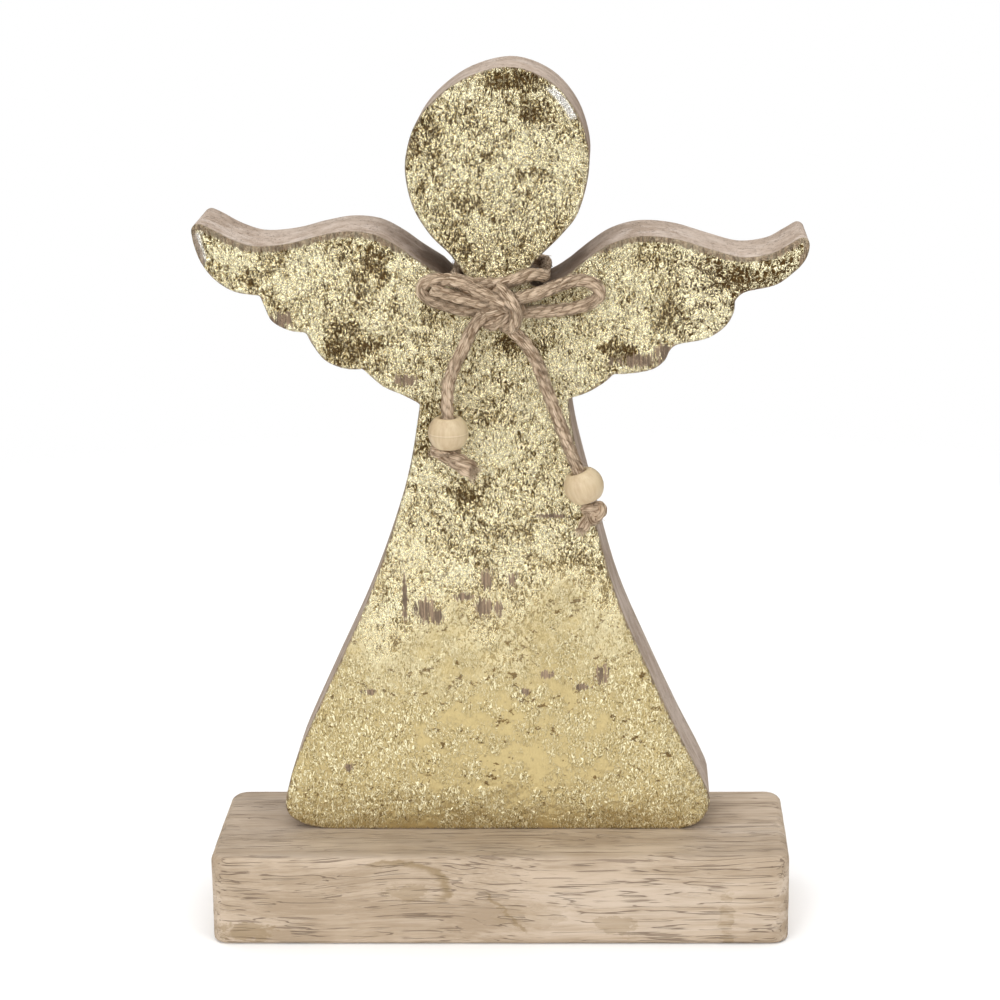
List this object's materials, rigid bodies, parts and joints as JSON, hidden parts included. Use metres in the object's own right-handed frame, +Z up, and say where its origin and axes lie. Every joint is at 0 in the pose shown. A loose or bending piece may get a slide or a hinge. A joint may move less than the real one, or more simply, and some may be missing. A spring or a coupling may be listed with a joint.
{
  "type": "gilded wooden angel figurine",
  "caption": "Flat angel sawn from a plank, gilded on its front, standing on a wooden base block, with a twine bow and beads at the neck.",
  "frame": {"origin": "on the ground under the middle of the piece: the centre of the bounding box's underside", "axes": "+X across the wings to the viewer's right, -Y out of the gilded front, +Z up"},
  "size_m": [0.1514, 0.0461, 0.2213],
  "materials": {
    "base_wood": "bare, lightly whitewashed hardwood with open pores",
    "figure_wood": "bare, lightly whitewashed hardwood, sawn edges sanded smooth",
    "gold_leaf": "crinkled metal leaf, bright and broken above, calmer below",
    "screw_steel": "zinc plated",
    "jute_twine": "natural jute, laid in strands, hairy",
    "bead_wood": "turned pale wood, satin"
  },
  "bodies": {
    "figurine": {"base_block": "base_wood", "angel_figure": "figure_wood", "gold_leaf": "gold_leaf", "base_screw_left": "screw_steel", "base_screw_right": "screw_steel", "twine_neck_band": "jute_twine", "twine_bow_knot": "jute_twine", "twine_loop_left": "jute_twine", "twine_loop_right": "jute_twine"},
    "left_tail": {"twine_tail_left": "jute_twine", "end_knot_left": "jute_twine"},
    "right_tail": {"twine_tail_right": "jute_twine", "end_knot_right": "jute_twine"},
    "left_bead": {"bead_left": "bead_wood"},
    "right_bead": {"bead_right": "bead_wood"}
  },
  "joints": [
    {"name": "left_tail_lift", "type": "hinge", "parent": "figurine", "child": "left_tail", "pos_m": [0.0012, -0.0093, 0.1633], "axis": [-1, 0, 0], "range_deg": [0, 80]},
    {"name": "right_tail_lift", "type": "hinge", "parent": "figurine", "child": "right_tail", "pos_m": [0.0012, -0.0093, 0.1633], "axis": [-1, 0, 0], "range_deg": [0, 80]},
    {"name": "left_bead_slide", "type": "slide", "parent": "left_tail", "child": "left_bead", "axis": [0, 0, 1], "range_m": [0, 0.007]},
    {"name": "right_bead_slide", "type": "slide", "parent": "right_tail", "child": "right_bead", "axis": [-0.342, 0, 0.9397], "range_m": [0, 0.012]}
  ]
}
